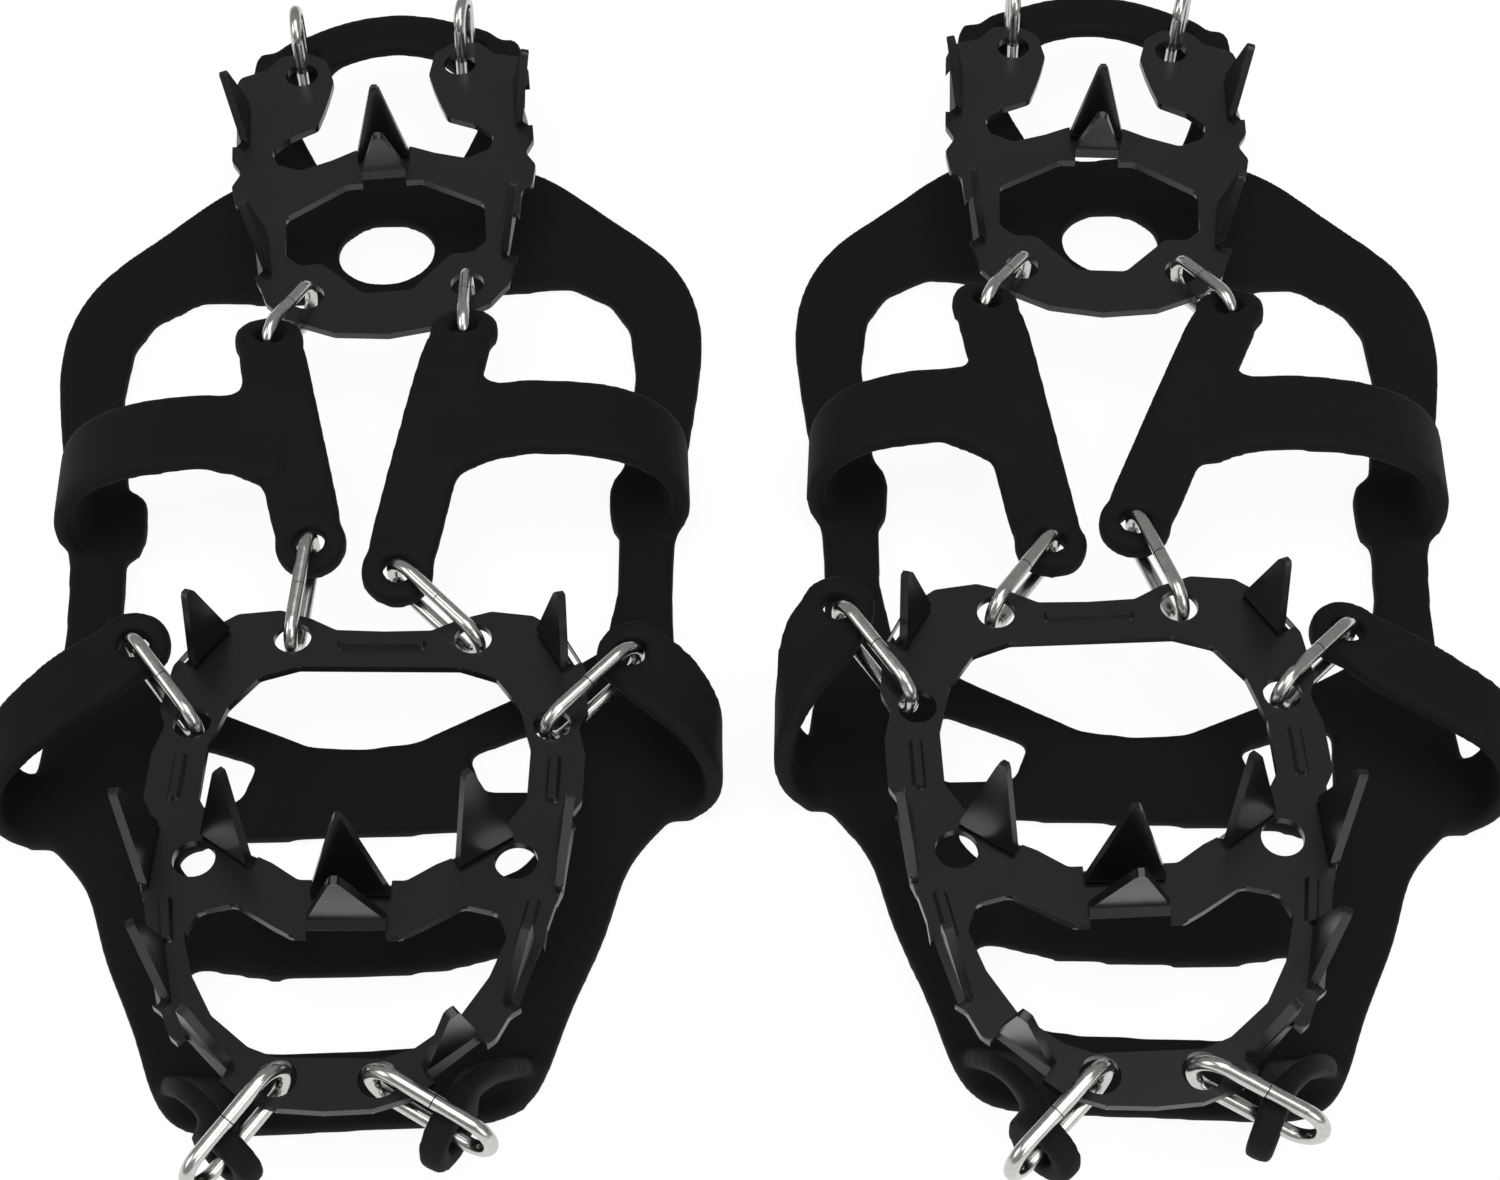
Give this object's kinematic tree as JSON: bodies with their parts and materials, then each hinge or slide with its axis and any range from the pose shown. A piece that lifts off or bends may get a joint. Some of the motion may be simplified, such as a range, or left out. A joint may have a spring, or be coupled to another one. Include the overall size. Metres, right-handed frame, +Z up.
{
  "type": "shoe ice cleats",
  "caption": "Pair of strap-on shoe ice cleats lying spikes up: black rubber harnesses, spiked black steel heel and forefoot plates, and bright split wire links.",
  "frame": {"origin": "centre of the pair's bounding box, on the plane that the harnesses lie on", "axes": "+X to the right cleat, +Y to the heel end, +Z up, the way the spikes point"},
  "size_m": [0.2939, 0.2938, 0.0498],
  "materials": {
    "rubber": "matte",
    "coated_steel": "satin",
    "bright_wire": "polished"
  },
  "bodies": {
    "left_heel_plate": {"left_heel_plate": "coated_steel"},
    "left_forefoot_plate": {"left_forefoot_plate": "coated_steel"},
    "left_heel_front_left_link": {"left_heel_front_left_link": "bright_wire"},
    "left_forefoot_rear_left_link": {"left_forefoot_rear_left_link": "bright_wire"},
    "left_forefoot_side_left_link": {"left_forefoot_side_left_link": "bright_wire"},
    "left_toe_left_link": {"left_toe_left_link": "bright_wire"},
    "left_heel_rear_left_link": {"left_heel_rear_left_link": "bright_wire"},
    "left_heel_front_right_link": {"left_heel_front_right_link": "bright_wire"},
    "left_forefoot_rear_right_link": {"left_forefoot_rear_right_link": "bright_wire"},
    "left_forefoot_side_right_link": {"left_forefoot_side_right_link": "bright_wire"},
    "left_toe_right_link": {"left_toe_right_link": "bright_wire"},
    "left_heel_rear_right_link": {"left_heel_rear_right_link": "bright_wire"},
    "left_harness": {"left_harness": "rubber"},
    "right_heel_plate": {"right_heel_plate": "coated_steel"},
    "right_forefoot_plate": {"right_forefoot_plate": "coated_steel"},
    "right_heel_front_left_link": {"right_heel_front_left_link": "bright_wire"},
    "right_forefoot_rear_left_link": {"right_forefoot_rear_left_link": "bright_wire"},
    "right_forefoot_side_left_link": {"right_forefoot_side_left_link": "bright_wire"},
    "right_toe_left_link": {"right_toe_left_link": "bright_wire"},
    "right_heel_rear_left_link": {"right_heel_rear_left_link": "bright_wire"},
    "right_heel_front_right_link": {"right_heel_front_right_link": "bright_wire"},
    "right_forefoot_rear_right_link": {"right_forefoot_rear_right_link": "bright_wire"},
    "right_forefoot_side_right_link": {"right_forefoot_side_right_link": "bright_wire"},
    "right_toe_right_link": {"right_toe_right_link": "bright_wire"},
    "right_heel_rear_right_link": {"right_heel_rear_right_link": "bright_wire"},
    "right_harness": {"right_harness": "rubber"}
  },
  "joints": [
    {"name": "left_heel_plate_float", "type": "slide", "parent": "left_harness", "child": "left_heel_plate", "axis": [0, 0, 1], "range_m": [-0.0002, 0.0008]},
    {"name": "left_forefoot_plate_float", "type": "slide", "parent": "left_harness", "child": "left_forefoot_plate", "axis": [0, 0, 1], "range_m": [-0.0002, 0.0008]},
    {"name": "left_heel_front_left_link_turn", "type": "hinge", "parent": "left_harness", "child": "left_heel_front_left_link", "pos_m": [-0.0937, 0.04347, 0.02655], "axis": [-0.3113, -0.9042, 0.2924], "range_deg": [-10, 10]},
    {"name": "left_forefoot_rear_left_link_turn", "type": "hinge", "parent": "left_harness", "child": "left_forefoot_rear_left_link", "pos_m": [-0.08583, -0.02396, 0.02257], "axis": [0.1022, 0.9728, 0.2079], "range_deg": [-10, 10]},
    {"name": "left_forefoot_side_left_link_turn", "type": "hinge", "parent": "left_harness", "child": "left_forefoot_side_left_link", "pos_m": [-0.10947, -0.04548, 0.0228], "axis": [-0.596, 0.7909, 0.1392], "range_deg": [-10, 10]},
    {"name": "left_toe_left_link_turn", "type": "hinge", "parent": "left_harness", "child": "left_toe_left_link", "pos_m": [-0.08712, -0.13516, 0.02276], "axis": [-0.6237, -0.7433, -0.2419], "range_deg": [-10, 10]},
    {"name": "left_heel_rear_left_link_slip", "type": "slide", "parent": "left_harness", "child": "left_heel_rear_left_link", "axis": [-0.0121, 0.1386, 0.9903], "range_m": [-0.004, 0.0012]},
    {"name": "left_heel_front_right_link_turn", "type": "hinge", "parent": "left_harness", "child": "left_heel_front_right_link", "pos_m": [-0.05776, 0.04589, 0.02655], "axis": [0.0334, -0.9557, 0.2924], "range_deg": [-10, 10]},
    {"name": "left_forefoot_rear_right_link_turn", "type": "hinge", "parent": "left_harness", "child": "left_forefoot_rear_right_link", "pos_m": [-0.06008, -0.02794, 0.02261], "axis": [-0.7154, 0.6671, 0.2079], "range_deg": [-10, 10]},
    {"name": "left_forefoot_side_right_link_turn", "type": "hinge", "parent": "left_harness", "child": "left_forefoot_side_right_link", "pos_m": [-0.03016, -0.04825, 0.0228], "axis": [0.7123, 0.6879, 0.1392], "range_deg": [-10, 10]},
    {"name": "left_toe_right_link_turn", "type": "hinge", "parent": "left_harness", "child": "left_toe_right_link", "pos_m": [-0.05518, -0.1327, 0.02272], "axis": [0.8567, -0.4555, -0.2419], "range_deg": [-10, 10]},
    {"name": "left_heel_rear_right_link_slip", "type": "slide", "parent": "left_harness", "child": "left_heel_rear_right_link", "axis": [0.0194, 0.1378, 0.9903], "range_m": [-0.004, 0.0012]},
    {"name": "right_heel_plate_float", "type": "slide", "parent": "right_harness", "child": "right_heel_plate", "axis": [0, 0, 1], "range_m": [-0.0002, 0.0008]},
    {"name": "right_forefoot_plate_float", "type": "slide", "parent": "right_harness", "child": "right_forefoot_plate", "axis": [0, 0, 1], "range_m": [-0.0002, 0.0008]},
    {"name": "right_heel_front_left_link_turn", "type": "hinge", "parent": "right_harness", "child": "right_heel_front_left_link", "pos_m": [0.05267, 0.04967, 0.02655], "axis": [-0.4854, -0.824, 0.2924], "range_deg": [-10, 10]},
    {"name": "right_forefoot_rear_left_link_turn", "type": "hinge", "parent": "right_harness", "child": "right_forefoot_rear_left_link", "pos_m": [0.05034, -0.02904, 0.03001], "axis": [0.565, 0.8221, -0.0698], "range_deg": [-10, 10]},
    {"name": "right_forefoot_side_left_link_turn", "type": "hinge", "parent": "right_harness", "child": "right_forefoot_side_left_link", "pos_m": [0.02193, -0.04648, 0.03043], "axis": [-0.536, 0.8413, 0.0698], "range_deg": [-10, 10]},
    {"name": "right_toe_left_link_turn", "type": "hinge", "parent": "right_harness", "child": "right_toe_left_link", "pos_m": [0.04854, -0.1375, 0.02534], "axis": [-0.7038, -0.6679, -0.2419], "range_deg": [-10, 10]},
    {"name": "right_heel_rear_left_link_slip", "type": "slide", "parent": "right_harness", "child": "right_heel_rear_left_link", "axis": [0.0012, 0.1392, 0.9903], "range_m": [-0.004, 0.0012]},
    {"name": "right_heel_front_right_link_turn", "type": "hinge", "parent": "right_harness", "child": "right_heel_front_right_link", "pos_m": [0.09357, 0.0473, 0.02655], "axis": [0.4117, -0.8631, 0.2924], "range_deg": [-10, 10]},
    {"name": "right_forefoot_rear_right_link_turn", "type": "hinge", "parent": "right_harness", "child": "right_forefoot_rear_right_link", "pos_m": [0.07566, -0.02684, 0.03053], "axis": [-0.3007, 0.9537, 0], "range_deg": [-10, 10]},
    {"name": "right_forefoot_side_right_link_turn", "type": "hinge", "parent": "right_harness", "child": "right_forefoot_side_right_link", "pos_m": [0.10215, -0.04881, 0.02905], "axis": [0.6846, 0.7214, -0.1045], "range_deg": [-10, 10]},
    {"name": "right_toe_right_link_turn", "type": "hinge", "parent": "right_harness", "child": "right_toe_right_link", "pos_m": [0.08145, -0.13453, 0.02536], "axis": [0.8758, -0.4177, -0.2419], "range_deg": [-10, 10]},
    {"name": "right_heel_rear_right_link_slip", "type": "slide", "parent": "right_harness", "child": "right_heel_rear_right_link", "axis": [0.0465, 0.1312, 0.9903], "range_m": [-0.004, 0.0012]},
    {"name": "right_cleat_lift", "type": "slide", "parent": "left_harness", "child": "right_harness", "axis": [0, 0, 1], "range_m": [0, 0.15]}
  ]
}
